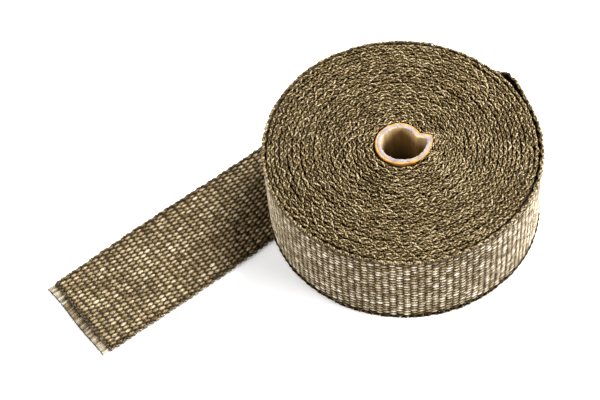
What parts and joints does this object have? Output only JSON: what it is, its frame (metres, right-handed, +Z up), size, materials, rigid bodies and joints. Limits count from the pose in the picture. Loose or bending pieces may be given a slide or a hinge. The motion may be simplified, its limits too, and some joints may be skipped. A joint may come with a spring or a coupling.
{
  "type": "exhaust heat wrap roll",
  "caption": "Roll of woven olive-brown exhaust heat wrap standing on its end around a paper core, its loose end passing under the roll as a flat cut tail.",
  "frame": {"origin": "on the floor, under the middle of the whole outline", "axes": "+Z up along the roll's axis, -X along the flat tail towards its cut end"},
  "size_m": [0.2406, 0.1418, 0.0512],
  "materials": {
    "tape": "coarse plain-woven olive-brown fibre yarn with a dull sheen",
    "core_tube": "matt brown wound paper"
  },
  "bodies": {
    "root": {"tape": "tape", "core_tube": "core_tube"}
  },
  "joints": []
}
